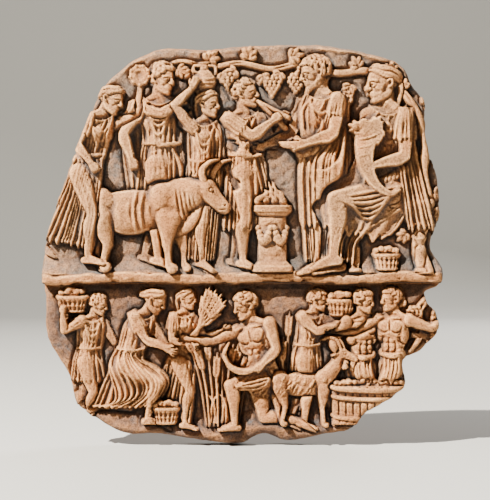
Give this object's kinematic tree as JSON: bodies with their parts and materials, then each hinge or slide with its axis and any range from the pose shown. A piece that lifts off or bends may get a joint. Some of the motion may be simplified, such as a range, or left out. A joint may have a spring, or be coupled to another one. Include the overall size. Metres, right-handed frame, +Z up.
{
  "type": "relief plaque",
  "caption": "Fired-clay wall plaque with a broken, rounded outline, carved in relief with an upper and a lower scene and a ledge between them.",
  "frame": {"origin": "centre of the flat back, where the plaque meets the wall", "axes": "the plaque is upright; +Z up, +Y out of its back into the wall, and the carved face looks along -Y"},
  "size_m": [0.2, 0.0225, 0.1994],
  "materials": {
    "terracotta": "matte, weathered fired clay"
  },
  "bodies": {
    "root": {"relief_panel": "terracotta"}
  },
  "joints": []
}
